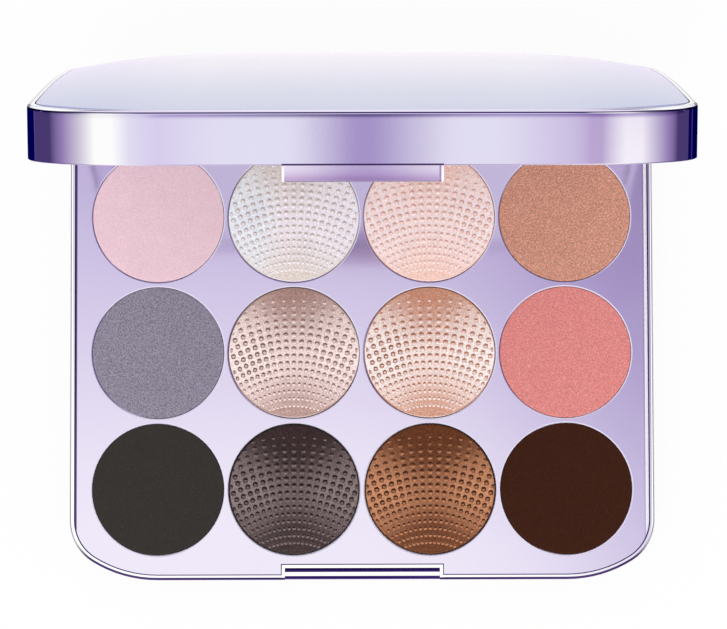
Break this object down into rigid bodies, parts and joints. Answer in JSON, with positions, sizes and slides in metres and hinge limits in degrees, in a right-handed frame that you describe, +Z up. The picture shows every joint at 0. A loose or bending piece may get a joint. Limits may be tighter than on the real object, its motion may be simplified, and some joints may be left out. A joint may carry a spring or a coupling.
{
  "type": "eyeshadow palette",
  "caption": "Hinged makeup palette with round pans of pressed powder in a tray, a crowned pearl lid with a mirror inside, and a snap tab at the front.",
  "frame": {"origin": "middle of the base's underside, on the surface that it stands on", "axes": "+X along the long side, to the right of someone who faces the open palette; +Y to the hinge; +Z up"},
  "size_m": [0.116, 0.1031, 0.1008],
  "materials": {
    "case_lavender": "metallised lavender, polished",
    "tray_lavender": "metallised lavender, satin gloss",
    "lid_lavender": "metallised lavender, polished",
    "inner_lavender": "lavender, satin gloss",
    "pearl": "pearlescent pale lilac grey, glossy",
    "mirror_glass": "silvered glass",
    "tape": "white foam tape",
    "pan_tin": "bright pressed tin",
    "pin_steel": "drawn wire",
    "glue": "set hot glue",
    "powder_a1": "satin pale pink pressed powder",
    "powder_a2": "pearl white with a cool shift pressed powder",
    "powder_a3": "pale pink champagne pearl pressed powder",
    "powder_a4": "tan bronze shimmer pressed powder",
    "powder_b1": "slate grey satin pressed powder",
    "powder_b2": "taupe rose metallic pressed powder",
    "powder_b3": "peach champagne metallic pressed powder",
    "powder_b4": "coral pink satin pressed powder",
    "powder_c1": "matte charcoal pressed powder",
    "powder_c2": "dark taupe metallic pressed powder",
    "powder_c3": "bronze brown metallic pressed powder",
    "powder_c4": "matte dark brown pressed powder"
  },
  "bodies": {
    "base": {"base_shell": "case_lavender", "pan_tray": "tray_lavender", "pan_glue": "glue", "hinge_pin_left": "pin_steel", "hinge_pin_right": "pin_steel", "pan_a1": "pan_tin", "powder_a1": "powder_a1", "pan_a2": "pan_tin", "powder_a2": "powder_a2", "pan_a3": "pan_tin", "powder_a3": "powder_a3", "pan_a4": "pan_tin", "powder_a4": "powder_a4", "pan_b1": "pan_tin", "powder_b1": "powder_b1", "pan_b2": "pan_tin", "powder_b2": "powder_b2", "pan_b3": "pan_tin", "powder_b3": "powder_b3", "pan_b4": "pan_tin", "powder_b4": "powder_b4", "pan_c1": "pan_tin", "powder_c1": "powder_c1", "pan_c2": "pan_tin", "powder_c2": "powder_c2", "pan_c3": "pan_tin", "powder_c3": "powder_c3", "pan_c4": "pan_tin", "powder_c4": "powder_c4"},
    "lid": {"lid_frame": "lid_lavender", "lid_plate": "pearl", "latch_tab": "lid_lavender", "mirror_frame": "inner_lavender", "mirror": "mirror_glass", "mirror_tape": "tape"}
  },
  "joints": [
    {"name": "lid_hinge", "type": "hinge", "parent": "base", "child": "lid", "pos_m": [0, 0.04537, 0.008], "axis": [-1, 0, 0], "range_deg": [-77, 43]}
  ]
}
